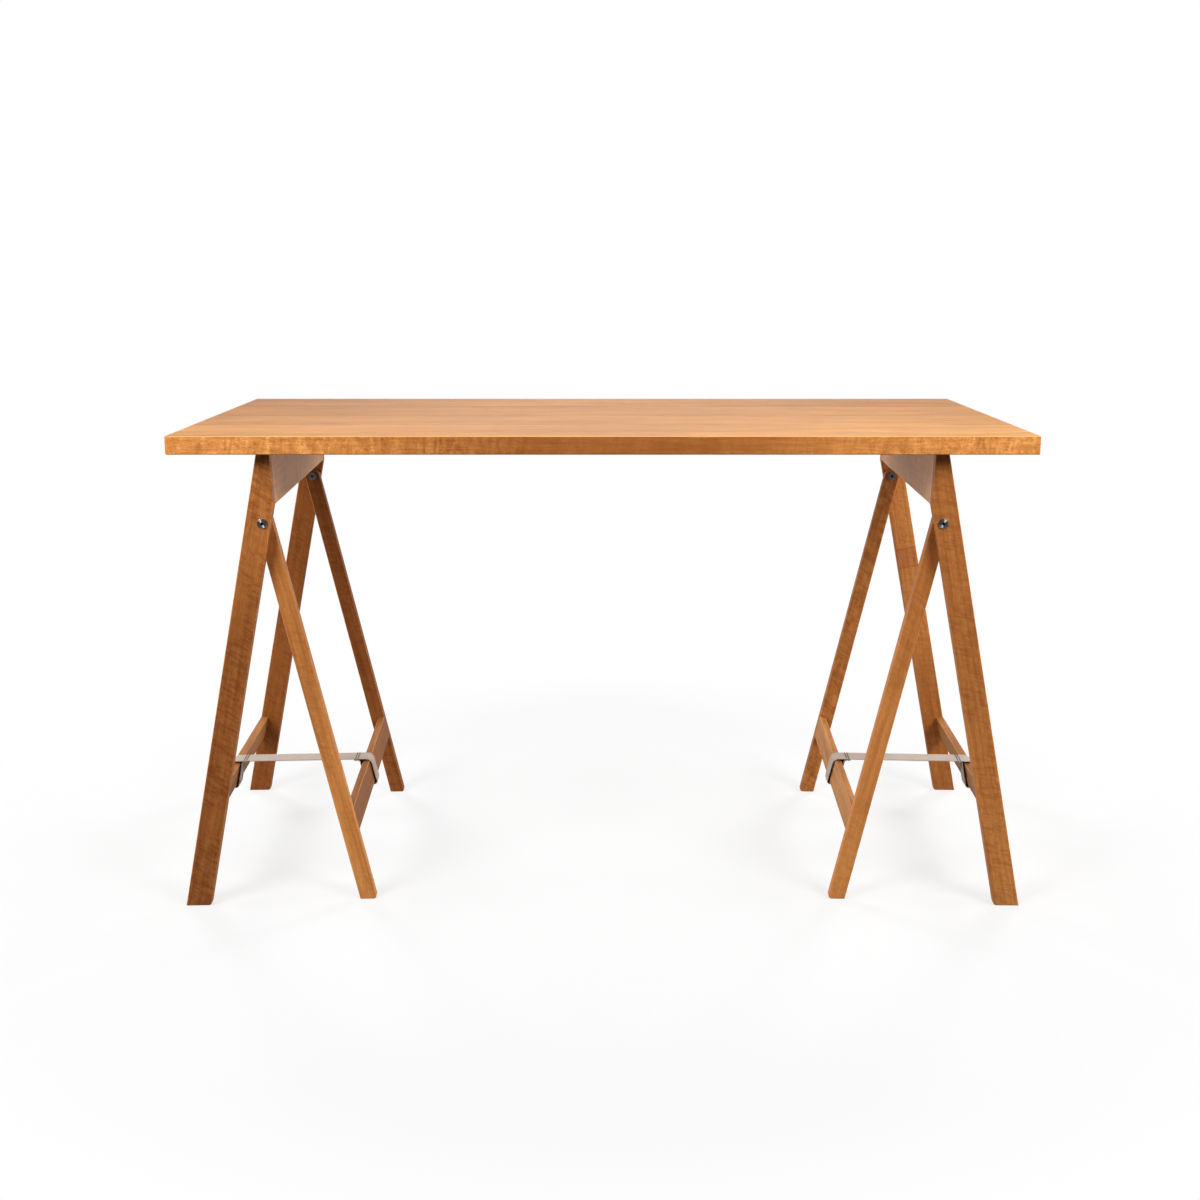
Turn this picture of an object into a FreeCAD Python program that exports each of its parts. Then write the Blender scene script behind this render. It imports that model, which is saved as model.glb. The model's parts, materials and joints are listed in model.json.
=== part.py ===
"""Folding trestle table: a loose board top on two folding wooden trestles."""
import FreeCAD
import Part
import math
import os
from FreeCAD import Vector

# All sizes in millimetres, angles in degrees.
# Table frame: origin on the floor under the middle of the top, X along the top, Y to the back, Z up.

# Table top
TABLE_LENGTH = 1300.0
TABLE_DEPTH = 680.0
TABLE_HEIGHT = 750.0
TOP_THICKNESS = 28.0
BOARD_COUNT = 4
TOP_EDGE_ROUND = 2.0

# Where the trestles stand: pivots in from the ends of the top, legs in from its long edges,
# and each trestle turned a little, so that the back legs stand further apart
TRESTLE_INSET = 122.0
TOP_OVERHANG = 36.0
TRESTLE_TURN_ANGLE = 2.0

# Legs of the two frames of a trestle, which lean opposite ways from the pivot
OUTER_LEAN_ANGLE = 10.9
INNER_LEAN_ANGLE = 13.1
INNER_LEG_WIDTH = 26.0
LEG_THICKNESS = 18.0
LEG_EDGE_ROUND = 1.5
LEG_TOP_ROUND = 4.0
FOOT_ROUND = 4.5

# Top panel between the outer legs, tilted outward at its top, and the room below it for the round ends
# of the inner legs
PANEL_HEIGHT = 82.0
PANEL_THICKNESS = 18.0
PANEL_TILT_ANGLE = 2.8
CROWN_ROOM = 14.0

# Low rails: height of the outer one's top on the line of the pivot, and their section
RAIL_TOP_HEIGHT = 143.6
RAIL_HEIGHT = 40.0
RAIL_THICKNESS = 12.5
RAIL_EDGE_ROUND = 1.5

# Pivot bolt, sleeve nut and washer
SLEEVE_DIAMETER = 9.0
BOLT_DIAMETER = 6.0
BOLT_LENGTH = 26.0
HEAD_DIAMETER = 15.0
HEAD_THICKNESS = 2.6
HEAD_ROUND = 1.0
SOCKET_WIDTH = 4.0
SOCKET_DEPTH = 1.8
WASHER_DIAMETER = 20.0
WASHER_THICKNESS = 1.0
PIVOT_FIT = 0.05
PIVOT_PLAY = 0.1
THREAD_FIT = 0.05
HOLE_END_ROOM = 0.5

# Dowels in the ends of rails and panel
DOWEL_DIAMETER = 6.0
DOWEL_IN_LEG = 12.0
DOWEL_IN_RAIL = 24.0
DOWEL_FIT = 0.05
RAIL_DOWEL_PITCH = 20.0
PANEL_DOWEL_COUNT = 3
PANEL_DOWEL_PITCH = 26.0

# Webbing strap, sewn in a loop round each low rail
STRAP_WIDTH = 40.0
STRAP_THICKNESS = 1.8
STRAP_GAP = 0.4
STRAP_SLACK = 2.0
STRAP_LAP = 10.0

# Points nearer than this count as one
NEAR = 1e-6

# Sizes that follow from those above; folded, an inner leg and the outer rail fill the width of an outer leg
TRESTLE_X = TABLE_LENGTH / 2 - TRESTLE_INSET
TOP_UNDERSIDE = TABLE_HEIGHT - TOP_THICKNESS
PANEL_BOTTOM = TOP_UNDERSIDE - PANEL_HEIGHT
PIVOT_HEIGHT = PANEL_BOTTOM - CROWN_ROOM - INNER_LEG_WIDTH / 2
PIVOT_TO_EDGE = INNER_LEG_WIDTH / 2
OUTER_LEG_WIDTH = INNER_LEG_WIDTH + RAIL_THICKNESS
STRAP_BEND = RAIL_EDGE_ROUND + STRAP_GAP
STRAP_LOOSE_GAP = STRAP_GAP + STRAP_SLACK
LEG_GAP = WASHER_THICKNESS + PIVOT_PLAY
OUTER_FACE = TABLE_DEPTH / 2 - TOP_OVERHANG
OUTER_INSIDE = OUTER_FACE - LEG_THICKNESS
INNER_FACE = OUTER_INSIDE - LEG_GAP
INNER_INSIDE = INNER_FACE - LEG_THICKNESS


class LegFrame:
    """Axes of one leaning frame: up along its legs and across them, from the pivot axis."""

    def __init__(self, lean):
        self.lean = math.radians(lean)
        self.up = Vector(math.sin(self.lean), 0, math.cos(self.lean))
        self.across = Vector(math.cos(self.lean), 0, -math.sin(self.lean))
        self.pivot = Vector(0, 0, PIVOT_HEIGHT)

    def point(self, across, up):
        return self.pivot + self.across * across + self.up * up

    def at_height(self, across, height):
        """The point of the line at this distance across the frame that lies at a height above the floor."""
        start = self.point(across, 0)
        return start + self.up * ((height - start.z) / self.up.z)


OUTER = LegFrame(OUTER_LEAN_ANGLE)
INNER = LegFrame(-INNER_LEAN_ANGLE)
OUTER_EDGE = PIVOT_TO_EDGE - OUTER_LEG_WIDTH
PANEL_FACE = OUTER.at_height(PIVOT_TO_EDGE, PANEL_BOTTOM).x

# Both low rails lie this far down the legs from the pivot, so that they meet when folded
RAIL_DROP = (PIVOT_HEIGHT - RAIL_TOP_HEIGHT) / OUTER.up.z
OUTER_RAIL_ACROSS = OUTER_EDGE
INNER_RAIL_ACROSS = PIVOT_TO_EDGE - RAIL_THICKNESS

# Pivot stack at the front, from outside in: bolt head, outer leg, washer, play, inner leg, play, nut head
NUT_SEAT = -INNER_INSIDE + PIVOT_PLAY
SLEEVE_END = -OUTER_FACE + PIVOT_PLAY


def polygon(points):
    return Part.Face(Part.Wire(Part.makePolygon(points + points[:1])))


def slab(face, y_low, y_high):
    """A flat face drawn at y = 0, raised to a solid between two depths."""
    face = face.copy()
    face.translate(Vector(0, y_low, 0))
    return face.extrude(Vector(0, y_high - y_low, 0))


def cylinder_y(radius, centre, y_low, y_high):
    base = Vector(centre.x, y_low, centre.z)
    return Part.makeCylinder(radius, y_high - y_low, base, Vector(0, 1, 0))


def round_edges(shape, radius, test):
    """Round the edges whose two end points pass a test."""
    edges = [edge for edge in shape.Edges if test(edge.Vertexes[0].Point, edge.Vertexes[-1].Point)]
    return shape.makeFillet(radius, edges)


def runs_along(direction, at_least):
    """Test for a straight edge in a given direction."""
    def test(start, end):
        span = end - start
        return span.Length > at_least and abs(span.dot(direction)) > 0.9999 * span.Length
    return test


def mirror_y(shape):
    return shape.mirror(Vector(0, 0, 0), Vector(0, 1, 0))


def round_corner(slab_shape, corner, radius):
    """Round the edge along Y at one corner of a slab's outline."""
    def test(start, end):
        return all(abs(p.x - corner.x) < NEAR and abs(p.z - corner.z) < NEAR for p in (start, end))
    return round_edges(slab_shape, radius, test)


def panel_point(depth, height):
    """The point this far behind the inner face of the tilted top panel, at a height above the floor."""
    tilt = math.radians(PANEL_TILT_ANGLE)
    x = PANEL_FACE - depth / math.cos(tilt) - (height - PANEL_BOTTOM) * math.tan(tilt)
    return Vector(x, 0, height)


def outer_leg():
    """The front leg of the outer frame, without its holes."""
    foot_corner = OUTER.at_height(PIVOT_TO_EDGE, 0)
    top_corner = OUTER.at_height(OUTER_EDGE, TOP_UNDERSIDE)
    outline = polygon([
        OUTER.at_height(OUTER_EDGE, 0),
        foot_corner,
        OUTER.at_height(PIVOT_TO_EDGE, PANEL_BOTTOM),
        panel_point(0, TOP_UNDERSIDE),
        top_corner,
    ])
    leg = slab(outline, -OUTER_FACE, -OUTER_INSIDE)
    leg = round_corner(leg, foot_corner, FOOT_ROUND)
    leg = round_corner(leg, top_corner, LEG_TOP_ROUND)
    return round_edges(leg, LEG_EDGE_ROUND, runs_along(OUTER.up, LEG_THICKNESS))


def inner_leg():
    """The front leg of the inner frame, round at the pivot, without its holes."""
    half = INNER_LEG_WIDTH / 2
    foot_corner = INNER.at_height(half, 0)
    left = INNER.point(-half, 0)
    right = INNER.point(half, 0)
    crown = Part.Arc(right, INNER.point(0, half), left).toShape()
    sides = [
        Part.makeLine(left, INNER.at_height(-half, 0)),
        Part.makeLine(INNER.at_height(-half, 0), foot_corner),
        Part.makeLine(foot_corner, right),
    ]
    outline = Part.Face(Part.Wire(sides + [crown]))
    leg = slab(outline, -INNER_FACE, -INNER_INSIDE)
    leg = round_corner(leg, foot_corner, FOOT_ROUND)
    return round_edges(leg, LEG_EDGE_ROUND, runs_along(INNER.up, LEG_THICKNESS))


def rail_section(frame, across):
    """Corners of a low rail's section, from its lower outer corner round."""
    top = -RAIL_DROP
    bottom = top - RAIL_HEIGHT
    return [
        frame.point(across, bottom),
        frame.point(across + RAIL_THICKNESS, bottom),
        frame.point(across + RAIL_THICKNESS, top),
        frame.point(across, top),
    ]


def rail(frame, across, inside):
    body = slab(polygon(rail_section(frame, across)), -inside, inside)
    return round_edges(body, RAIL_EDGE_ROUND, runs_along(Vector(0, 1, 0), RAIL_HEIGHT))


def top_panel():
    corners = [
        panel_point(PANEL_THICKNESS, PANEL_BOTTOM),
        panel_point(0, PANEL_BOTTOM),
        panel_point(0, TOP_UNDERSIDE),
        panel_point(PANEL_THICKNESS, TOP_UNDERSIDE),
    ]
    body = slab(polygon(corners), -OUTER_INSIDE, OUTER_INSIDE)
    for lower_corner in corners[:2]:
        body = round_corner(body, lower_corner, RAIL_EDGE_ROUND)
    return round_corner(body, corners[3], LEG_TOP_ROUND)


def rail_dowel_points(frame, across):
    """Centres of the two dowels in a rail's end."""
    middle = -RAIL_DROP - RAIL_HEIGHT / 2
    return [
        frame.point(across + RAIL_THICKNESS / 2, middle + side * RAIL_DOWEL_PITCH / 2)
        for side in (-1, 1)
    ]


def panel_dowel_points():
    middle = (TOP_UNDERSIDE + PANEL_BOTTOM) / 2
    first = middle - PANEL_DOWEL_PITCH * (PANEL_DOWEL_COUNT - 1) / 2
    heights = [first + i * PANEL_DOWEL_PITCH for i in range(PANEL_DOWEL_COUNT)]
    return [panel_point(PANEL_THICKNESS / 2, height) for height in heights]


def dowel_holes(points, inside):
    """Holes across the joint at the front inside face of a leg."""
    radius = DOWEL_DIAMETER / 2 + DOWEL_FIT
    low = -inside - DOWEL_IN_LEG - HOLE_END_ROOM
    high = -inside + DOWEL_IN_RAIL + HOLE_END_ROOM
    return [cylinder_y(radius, point, low, high) for point in points]


def dowels(points, inside):
    """Front and back dowels of one rail or panel."""
    low = -inside - DOWEL_IN_LEG
    high = -inside + DOWEL_IN_RAIL
    front = [cylinder_y(DOWEL_DIAMETER / 2, point, low, high) for point in points]
    return Part.makeCompound(front + [mirror_y(dowel) for dowel in front])


def cut_both_ends(body, holes):
    return body.cut(holes + [mirror_y(hole) for hole in holes])


def hexagon(width, centre, y):
    radius = width / 2 / math.cos(math.pi / 6)
    corners = []
    for i in range(6):
        turn = i * math.pi / 3
        corners.append(Vector(centre.x + radius * math.cos(turn), y, centre.z + radius * math.sin(turn)))
    return polygon(corners)


def socket_head(y_seat, outward):
    """Flat round head with a hexagon socket, seated at y_seat, standing out along outward (1 or -1)."""
    pivot = OUTER.pivot
    y_top = y_seat + outward * HEAD_THICKNESS
    head = cylinder_y(HEAD_DIAMETER / 2, pivot, min(y_seat, y_top), max(y_seat, y_top))

    def outer_rim(start, end):
        return abs(start.y - y_top) < NEAR and abs(end.y - y_top) < NEAR
    head = round_edges(head, HEAD_ROUND, outer_rim)
    recess = hexagon(SOCKET_WIDTH, pivot, y_top).extrude(Vector(0, -outward * SOCKET_DEPTH, 0))
    return head.cut(recess)


def sleeve_nut():
    head = socket_head(NUT_SEAT, 1)
    barrel = cylinder_y(SLEEVE_DIAMETER / 2, OUTER.pivot, SLEEVE_END, NUT_SEAT)
    bore_end = -OUTER_FACE + BOLT_LENGTH + HOLE_END_ROOM
    bore = cylinder_y(BOLT_DIAMETER / 2 + THREAD_FIT, OUTER.pivot, SLEEVE_END, bore_end)
    return head.fuse(barrel).removeSplitter().cut(bore)


def pivot_bolt():
    head = socket_head(-OUTER_FACE, -1)
    shank = cylinder_y(BOLT_DIAMETER / 2, OUTER.pivot, -OUTER_FACE, -OUTER_FACE + BOLT_LENGTH)
    return head.fuse(shank).removeSplitter()


def pivot_washer():
    seat = -OUTER_INSIDE
    disc = cylinder_y(WASHER_DIAMETER / 2, OUTER.pivot, seat, seat + WASHER_THICKNESS)
    return disc.cut(pivot_bore())


def pivot_bore():
    return cylinder_y(SLEEVE_DIAMETER / 2 + PIVOT_FIT, OUTER.pivot, -OUTER_FACE, -INNER_INSIDE)


def rounded_box(frame, across, up, width, height, radius):
    """Rounded rectangle in a frame's own plane."""
    corners = [
        frame.point(across, up),
        frame.point(across + width, up),
        frame.point(across + width, up + height),
        frame.point(across, up + height),
    ]
    prism = slab(polygon(corners), -STRAP_WIDTH / 2, STRAP_WIDTH / 2)
    along_y = runs_along(Vector(0, 1, 0), STRAP_WIDTH / 2)
    return round_edges(prism, radius, along_y)


def strap_loop(frame, across):
    """Band round a rail, snug on top, loose below and on both faces."""
    low_across = across - STRAP_LOOSE_GAP
    low_up = -RAIL_DROP - RAIL_HEIGHT - STRAP_LOOSE_GAP
    width = RAIL_THICKNESS + 2 * STRAP_LOOSE_GAP
    height = RAIL_HEIGHT + STRAP_LOOSE_GAP + STRAP_GAP
    inside = rounded_box(frame, low_across, low_up, width, height, STRAP_BEND)
    outside = rounded_box(
        frame, low_across - STRAP_THICKNESS, low_up - STRAP_THICKNESS,
        width + 2 * STRAP_THICKNESS, height + 2 * STRAP_THICKNESS, STRAP_BEND + STRAP_THICKNESS)
    return outside.cut(inside)


def strap_strip(start, along, across, length, thickness):
    """Flat length of webbing in the strap's plane, from a point on its underside."""
    corners = [
        start,
        start + along * length,
        start + along * length + across * thickness,
        start + across * thickness,
    ]
    return slab(polygon(corners), -STRAP_WIDTH / 2, STRAP_WIDTH / 2)


def strap():
    """Webbing from rail to rail, level with the tops of both, with a sewn lap under it beside each loop."""
    outer_loop = strap_loop(OUTER, OUTER_RAIL_ACROSS)
    inner_loop = strap_loop(INNER, INNER_RAIL_ACROSS)
    seat = -RAIL_DROP + STRAP_GAP
    start = OUTER.point(OUTER_RAIL_ACROSS + RAIL_THICKNESS / 2, seat)
    end = INNER.point(INNER_RAIL_ACROSS + RAIL_THICKNESS / 2, seat)
    length = (end - start).Length
    along = (end - start).normalize()
    upward = Vector(-along.z, 0, along.x)
    lap_start = RAIL_THICKNESS / 2 + STRAP_LOOSE_GAP
    lap_length = STRAP_THICKNESS + STRAP_LAP
    strips = [
        strap_strip(start, along, upward, length, STRAP_THICKNESS),
        strap_strip(start + along * lap_start, along, -upward, lap_length, STRAP_THICKNESS),
        strap_strip(end - along * lap_start, -along, -upward, lap_length, STRAP_THICKNESS),
    ]
    return outer_loop.fuse([inner_loop] + strips).removeSplitter()


def trestle():
    """All the pieces of one trestle, by name, in the trestle's own frame: pivot axis above the origin."""
    outer_holes = dowel_holes(rail_dowel_points(OUTER, OUTER_RAIL_ACROSS), OUTER_INSIDE)
    panel_holes = dowel_holes(panel_dowel_points(), OUTER_INSIDE)
    inner_holes = dowel_holes(rail_dowel_points(INNER, INNER_RAIL_ACROSS), INNER_INSIDE)
    front_outer = outer_leg().cut(outer_holes + panel_holes + [pivot_bore()])
    front_inner = inner_leg().cut(inner_holes + [pivot_bore()])
    pair = {"pivot_bolts": pivot_bolt(), "pivot_sleeve_nuts": sleeve_nut(), "pivot_washers": pivot_washer()}
    pieces = {
        "outer_leg_front": front_outer,
        "outer_leg_back": mirror_y(front_outer),
        "top_panel": cut_both_ends(top_panel(), panel_holes),
        "outer_rail": cut_both_ends(rail(OUTER, OUTER_RAIL_ACROSS, OUTER_INSIDE), outer_holes),
        "inner_leg_front": front_inner,
        "inner_leg_back": mirror_y(front_inner),
        "inner_rail": cut_both_ends(rail(INNER, INNER_RAIL_ACROSS, INNER_INSIDE), inner_holes),
        "strap": strap(),
        "outer_rail_dowels": dowels(rail_dowel_points(OUTER, OUTER_RAIL_ACROSS), OUTER_INSIDE),
        "inner_rail_dowels": dowels(rail_dowel_points(INNER, INNER_RAIL_ACROSS), INNER_INSIDE),
        "top_panel_dowels": dowels(panel_dowel_points(), OUTER_INSIDE),
    }
    for name, shape in pair.items():
        pieces[name] = Part.makeCompound([shape, mirror_y(shape)])
    return pieces


def on_the_left(shape):
    """A trestle piece turned about the vertical through the pivot and moved to the left end of the table."""
    shape = shape.copy()
    shape.rotate(Vector(0, 0, 0), Vector(0, 0, 1), TRESTLE_TURN_ANGLE)
    shape.translate(Vector(-TRESTLE_X, 0, 0))
    return shape


def table_boards():
    """Edge-glued boards of the top, front to back, with eased outer edges."""
    corner = Vector(-TABLE_LENGTH / 2, -TABLE_DEPTH / 2, TOP_UNDERSIDE)
    top = Part.makeBox(TABLE_LENGTH, TABLE_DEPTH, TOP_THICKNESS, corner)
    top = top.makeFillet(TOP_EDGE_ROUND, top.Edges)
    width = TABLE_DEPTH / BOARD_COUNT
    boards = []
    for i in range(BOARD_COUNT):
        board_corner = corner + Vector(0, i * width, 0)
        board = Part.makeBox(TABLE_LENGTH, width, TOP_THICKNESS, board_corner)
        boards.append(top.common(board))
    return boards


def main():
    os.makedirs("parts", exist_ok=True)
    nodes = {}
    for i, board in enumerate(table_boards()):
        nodes["tabletop_board_%d" % (i + 1)] = board
    for name, shape in trestle().items():
        left_piece = on_the_left(shape)
        nodes["left_" + name] = left_piece
        nodes["right_" + name] = left_piece.mirror(Vector(0, 0, 0), Vector(1, 0, 0))
    for name, shape in nodes.items():
        shape.exportStep("parts/" + name + ".step")


main()
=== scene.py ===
"""Looks of the folding trestle table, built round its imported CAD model, in metres."""
import json
import math

import bmesh
import bpy
from mathutils import Matrix, Vector


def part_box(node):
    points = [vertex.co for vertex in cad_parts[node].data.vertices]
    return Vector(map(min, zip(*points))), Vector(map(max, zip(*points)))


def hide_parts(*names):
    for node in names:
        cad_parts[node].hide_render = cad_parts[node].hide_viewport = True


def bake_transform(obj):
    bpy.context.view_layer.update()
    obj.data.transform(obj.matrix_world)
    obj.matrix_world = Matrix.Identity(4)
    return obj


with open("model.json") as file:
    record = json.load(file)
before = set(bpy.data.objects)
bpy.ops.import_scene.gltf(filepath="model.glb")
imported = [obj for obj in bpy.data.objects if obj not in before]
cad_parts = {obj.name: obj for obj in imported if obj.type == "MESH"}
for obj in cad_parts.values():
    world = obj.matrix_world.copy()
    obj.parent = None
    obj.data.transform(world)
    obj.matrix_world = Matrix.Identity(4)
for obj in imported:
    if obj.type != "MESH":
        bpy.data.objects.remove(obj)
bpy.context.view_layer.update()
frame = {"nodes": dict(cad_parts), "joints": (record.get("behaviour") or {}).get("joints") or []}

SIDES = ("left", "right")

# Sizes of the trestles, as in the part's source
OUTER_LEAN = math.radians(10.9)
INNER_LEAN = math.radians(-13.1)
OUTER_LEG_WIDTH = 0.0385
INNER_LEG_WIDTH = 0.026
RAIL_THICKNESS = 0.0125
RAIL_HEIGHT = 0.040
RAIL_TOP_HEIGHT = 0.1436
STRAP_WIDTH = 0.040
STRAP_THICKNESS = 0.0018

# Place and turn of the trestles, from the left fold joint
left_fold = [joint for joint in frame["joints"] if joint["name"] == "left_fold"][0]
PIVOT = Vector(left_fold["pos_m"])
TURN = math.asin(-left_fold["axis"][0])
RAIL_DROP = (PIVOT.z - RAIL_TOP_HEIGHT) / math.cos(OUTER_LEAN)


def trestle_direction(side, x, y, z):
    """A direction in a trestle's own frame, x towards the table's middle, brought into the table's frame."""
    turned_x = x * math.cos(TURN) - y * math.sin(TURN)
    turned_y = x * math.sin(TURN) + y * math.cos(TURN)
    return Vector((turned_x if side == "left" else -turned_x, turned_y, z))


def trestle_point(side, x, y, z):
    """A point in a trestle's own frame, with the origin on its pivot, brought into the table's frame."""
    middle = Vector((PIVOT.x if side == "left" else -PIVOT.x, PIVOT.y, PIVOT.z))
    return middle + trestle_direction(side, x, y, z)


class Graph:
    """Node tree of a material or of the world, with shorthands for its nodes."""

    def __init__(self, owner, output_kind):
        owner.use_nodes = True
        self.tree = owner.node_tree
        self.tree.nodes.clear()
        self.output = self.tree.nodes.new(output_kind)

    def set(self, node, name, value):
        """Link a socket to an input, or set the input's number or colour."""
        if isinstance(value, bpy.types.NodeSocket):
            self.tree.links.new(value, node.inputs[name])
        else:
            node.inputs[name].default_value = value

    def add(self, kind, inputs, **settings):
        node = self.tree.nodes.new(kind)
        for name, value in settings.items():
            setattr(node, name, value)
        for name, value in inputs.items():
            self.set(node, name, value)
        return node

    def end(self, shader):
        self.set(self.output, "Surface", shader)

    def coordinates(self, kind):
        return self.add("ShaderNodeTexCoord", {}).outputs[kind]

    def parts(self, kind):
        """The x, y and z of one kind of coordinates."""
        return self.add("ShaderNodeSeparateXYZ", {"Vector": self.coordinates(kind)}).outputs

    def position(self, turn=None, shift=(0, 0, 0)):
        """Object coordinates with x along the grain, shifted to another part of the tree."""
        rotation = turn.to_euler() if turn else (0, 0, 0)
        inputs = {"Vector": self.coordinates("Object"), "Rotation": rotation, "Location": shift}
        return self.add("ShaderNodeMapping", inputs).outputs["Vector"]

    def math(self, operation, a, b=0.0):
        return self.add("ShaderNodeMath", {0: a, 1: b}, operation=operation).outputs["Value"]

    def apart(self, value, middle):
        """How far a value is from another one, on either side."""
        return self.math("ABSOLUTE", self.math("SUBTRACT", value, middle))

    def swing(self, value, amount):
        """A value from 0 to 1, brought to a range of this size with 0 in its middle."""
        return self.math("MULTIPLY", self.math("SUBTRACT", value, 0.5), amount)

    def vector(self, operation, a, b=(0, 0, 0)):
        """Result of a vector operation: a number for a length or a dot product."""
        node = self.add("ShaderNodeVectorMath", {0: a, 1: b}, operation=operation)
        return node.outputs["Value" if operation in ("LENGTH", "DOT_PRODUCT") else "Vector"]

    def noise(self, vector, waves, detail=2.0, roughness=0.5, distortion=0.0):
        """Noise from 0 to 1, with so many waves to the metre along each axis."""
        inputs = {"Vector": self.vector("MULTIPLY", vector, waves), "Scale": 1.0, "Detail": detail}
        inputs.update({"Roughness": roughness, "Distortion": distortion})
        return self.add("ShaderNodeTexNoise", inputs).outputs["Fac"]

    def noise_along(self, distance, waves, detail):
        """Noise from 0 to 1 along a line, with so many waves to the metre."""
        inputs = {"W": self.math("MULTIPLY", distance, waves), "Scale": 1.0, "Detail": detail}
        return self.add("ShaderNodeTexNoise", inputs, noise_dimensions="1D").outputs["Fac"]

    def span(self, value, low, high, to_low=0.0, to_high=1.0):
        """The value's range from low to high, spread smoothly over another range."""
        inputs = {"Value": value, "From Min": low, "From Max": high, "To Min": to_low, "To Max": to_high}
        return self.add("ShaderNodeMapRange", inputs, interpolation_type="SMOOTHSTEP").outputs["Result"]

    def ramp(self, value, places, colours):
        node = self.add("ShaderNodeValToRGB", {"Fac": value})
        elements = node.color_ramp.elements
        while len(elements) < len(places):
            elements.new(0.5)
        for element, place, colour in zip(elements, places, colours):
            element.position = place
            element.color = opaque(colour)
        return node.outputs["Color"]

    def mix(self, factor, a, b, blend="MIX"):
        inputs = {0: factor, 6: a, 7: b}
        return self.add("ShaderNodeMix", inputs, data_type="RGBA", blend_type=blend).outputs[2]

    def mix_shaders(self, factor, a, b):
        return self.add("ShaderNodeMixShader", {"Fac": factor, 1: a, 2: b}).outputs["Shader"]

    def bump(self, height, strength, distance):
        inputs = {"Height": height, "Strength": strength, "Distance": distance}
        return self.add("ShaderNodeBump", inputs).outputs["Normal"]

    def rays(self, kind):
        """1 for one kind of rays, and 0 for the others."""
        return self.add("ShaderNodeLightPath", {}).outputs[kind]

    def background_rays(self):
        """1 for the rays that see the background: from the camera, and mirrored or through glass."""
        mirrored = self.math("MAXIMUM", self.rays("Is Camera Ray"), self.rays("Is Glossy Ray"))
        return self.math("MAXIMUM", mirrored, self.rays("Is Transmission Ray"))


class Surface(Graph):
    """Material of a piece, with a Principled shader at its end."""

    def __init__(self, name):
        self.material = bpy.data.materials.new(name)
        super().__init__(self.material, "ShaderNodeOutputMaterial")
        self.shader = self.add("ShaderNodeBsdfPrincipled", {})
        self.end(self.shader.outputs["BSDF"])

    def shade(self, **inputs):
        """Set the shader's inputs, named with underscores for blanks."""
        for name, value in inputs.items():
            self.set(self.shader, name.replace("_", " "), value)


def opaque(colour):
    return (*colour, 1)


def grey(value):
    return (value, value, value, 1)


def shade_of(colour, factor):
    return tuple(min(1.0, channel * factor) for channel in colour)


# Wood colours, linear: dark streaks, ground and pale streaks
FRAME_WOOD = ((0.29, 0.092, 0.0215), (0.46, 0.168, 0.043), (0.61, 0.244, 0.070))
RAIL_WOOD = ((0.22, 0.078, 0.022), (0.46, 0.195, 0.060), (0.70, 0.335, 0.122))
PANEL_WOOD = ((0.40, 0.180, 0.067), (0.72, 0.343, 0.141), (0.92, 0.485, 0.220))
TOP_WOOD = ((0.40, 0.145, 0.030), (0.62, 0.256, 0.056), (0.76, 0.340, 0.084))
EDGE_WOOD = ((0.26, 0.078, 0.016), (0.56, 0.208, 0.051), (0.84, 0.390, 0.120))

# Grain of all the wood: waves to the metre along the grain and across it, levels of noise, and amounts
SWAY_WAVES = (3.0, 9.0, 9.0)
SWAY = 0.02
DRIFT_WAVES = (2.2, 14.0, 14.0)
DRIFT_SHARE = 0.35
STREAK_SHARE = 0.65
TONE_PLACES = (0.28, 0.50, 0.72)
DARK_FLECK_LEVELS = (0.50, 0.66)
DARK_FLECK_TONE = 1.1
PALE_FLECK_LEVELS = (0.46, 0.32)
PALE_FLECK_SHARE = 0.5
PORE_WAVES = (55.0, 1300.0, 1300.0)
PORE_LEVELS = (0.60, 0.74)
PORE_SHARE = 0.35
PORE_COLOUR = (0.06, 0.02, 0.007, 1)
GLOSS_LEVELS = (0.25, 0.75)
WOOD_ROUGHNESS = (0.36, 0.48)
WOOD_IOR = 1.42
LINE_HEIGHT = 0.5
RELIEF_STRENGTH = 0.25
RELIEF_DEPTH = 0.0004
SEED_STEPS = (1.37, 0.61, 0.29)


def grown(graph, seed, turn=None):
    """Coordinates along the grain, in a part of the tree that no other piece comes from."""
    return graph.position(turn, tuple(seed * step for step in SEED_STEPS))


def wood_colour(graph, place, wood, streak, fleck, dark_amount, pale_amount):
    """Colour of long-grained wood: slow drift, streaks along the grain, and short dark and pale flecks."""
    sway = graph.swing(graph.noise(place, SWAY_WAVES, detail=1.0), SWAY)
    aside = graph.add("ShaderNodeCombineXYZ", {"X": 0.0, "Y": sway, "Z": sway}).outputs["Vector"]
    bent = graph.vector("ADD", place, aside)
    drift = graph.noise(place, DRIFT_WAVES, detail=2.0)
    lines = graph.noise(bent, streak, detail=6.0, roughness=0.6)
    drift = graph.math("MULTIPLY", drift, DRIFT_SHARE)
    tone = graph.math("ADD", drift, graph.math("MULTIPLY", lines, STREAK_SHARE))
    base = graph.ramp(tone, TONE_PLACES, wood)
    flecks = graph.noise(bent, fleck, detail=3.0, roughness=0.6, distortion=0.7)
    dark = graph.span(flecks, *DARK_FLECK_LEVELS, 0.0, dark_amount)
    colour = graph.mix(dark, base, opaque(shade_of(wood[0], DARK_FLECK_TONE)))
    pale = graph.span(flecks, *PALE_FLECK_LEVELS, 0.0, pale_amount)
    return graph.mix(pale, colour, opaque(wood[2])), lines


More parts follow.
